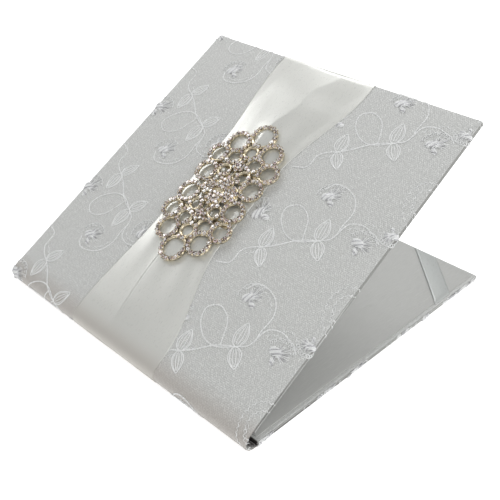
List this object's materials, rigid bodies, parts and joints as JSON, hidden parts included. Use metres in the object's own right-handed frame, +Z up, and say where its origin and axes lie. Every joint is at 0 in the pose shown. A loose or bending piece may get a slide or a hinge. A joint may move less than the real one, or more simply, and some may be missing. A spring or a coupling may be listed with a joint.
{
  "type": "wedding folio",
  "caption": "Square padded hard-cover folio in embroidered fabric, hinged along a soft spine, with a satin ribbon band, a jewelled brooch and silk-lined insides.",
  "frame": {"origin": "centre of the back cover's underside, on the ribbon it rests on", "axes": "+X from the spine to the free edges, +Y along the spine, +Z up out of the back cover"},
  "size_m": [0.1856, 0.178, 0.1057],
  "materials": {
    "greyboard": "matte grey-brown board",
    "batting": "soft white wadding",
    "lace_fabric": "fine white net over satin with raised white and silver embroidery",
    "lining_silk": "silver-grey slubbed silk with a dull sheen",
    "satin_ribbon": "ivory satin with a soft sheen",
    "brooch_metal": "bright champagne-silver plating",
    "crystal": "clear faceted crystal"
  },
  "bodies": {
    "back_cover": {"back_board": "greyboard", "back_padding": "batting", "back_cover_fabric": "lace_fabric", "back_lining_card": "greyboard", "back_lining": "lining_silk", "corner_ribbon_free_edge": "satin_ribbon", "corner_ribbon_spine_edge": "satin_ribbon", "ribbon_back": "satin_ribbon"},
    "spine": {"spine_card": "greyboard", "spine_fabric": "lace_fabric", "spine_lining": "lining_silk", "ribbon_spine": "satin_ribbon"},
    "front_cover": {"front_board": "greyboard", "front_padding": "batting", "front_cover_fabric": "lace_fabric", "front_lining_card": "greyboard", "front_lining": "lining_silk", "ribbon_front": "satin_ribbon", "brooch_bars": "brooch_metal", "brooch_frame": "brooch_metal", "brooch_stones": "crystal", "brooch_centre_stones": "crystal"}
  },
  "joints": [
    {"name": "spine_fold", "type": "hinge", "parent": "back_cover", "child": "spine", "pos_m": [-0.09055, 0, 0.0003], "axis": [0, -1, 0], "range_deg": [-15.7, 74.3]},
    {"name": "cover_fold", "type": "hinge", "parent": "spine", "child": "front_cover", "pos_m": [-0.09366, 0, 0.01137], "axis": [0, -1, 0], "range_deg": [-15.7, 74.3]}
  ],
  "couplings": [
    {"joint": "spine_fold", "follows": "cover_fold", "ratio": 1}
  ]
}
